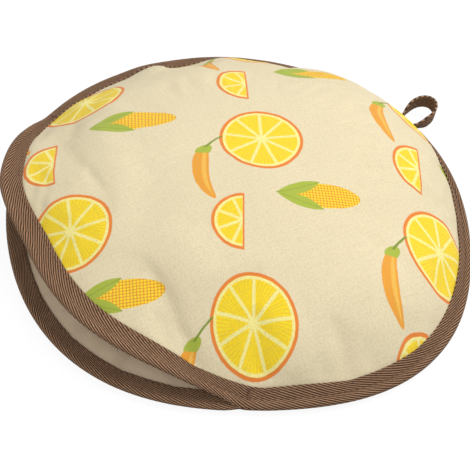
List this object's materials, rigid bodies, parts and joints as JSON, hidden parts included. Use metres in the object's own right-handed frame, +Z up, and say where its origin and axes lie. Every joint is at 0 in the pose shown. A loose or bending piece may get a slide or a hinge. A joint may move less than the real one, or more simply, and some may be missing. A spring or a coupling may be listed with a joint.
{
  "type": "tortilla warmer",
  "caption": "Round padded cloth pouch that keeps tortillas warm: two quilted pads bound with twill tape, an open mouth with a lifting lip, and a hang loop.",
  "frame": {"origin": "middle of the flat underside, on the surface it rests on, at the centre of the round pads", "axes": "+Z up, the mouth faces -Y, the hang loop is at the back near +Y"},
  "size_m": [0.3058, 0.3301, 0.0624],
  "materials": {
    "printed_cotton": "plain-woven cream cotton with an all-over food print",
    "wadding": "soft white polyester wadding",
    "quilted_lining": "pale grey-taupe quilted lining",
    "twill_tape": "brown herringbone twill tape"
  },
  "bodies": {
    "base": {"bottom_cover": "printed_cotton", "bottom_wadding": "wadding", "bottom_lining": "quilted_lining", "top_cover_back": "printed_cotton", "top_wadding_back": "wadding", "top_lining_back": "quilted_lining", "seam_binding": "twill_tape", "bottom_lip_binding": "twill_tape"},
    "mouth_flap": {"top_cover_flap": "printed_cotton", "top_wadding_flap": "wadding", "top_lining_flap": "quilted_lining", "top_lip_binding": "twill_tape"},
    "hang_loop": {"hang_loop": "twill_tape"}
  },
  "joints": [
    {"name": "mouth_lift", "type": "hinge", "parent": "base", "child": "mouth_flap", "pos_m": [0, -0.08798, 0.05195], "axis": [-1, 0, 0], "range_deg": [0, 30]},
    {"name": "loop_swing", "type": "hinge", "parent": "base", "child": "hang_loop", "pos_m": [-0.02178, 0.15499, 0.00595], "axis": [0.9903, 0.1392, 0], "range_deg": [-14, 66], "stiffness_Nm_per_rad": 0.001}
  ]
}
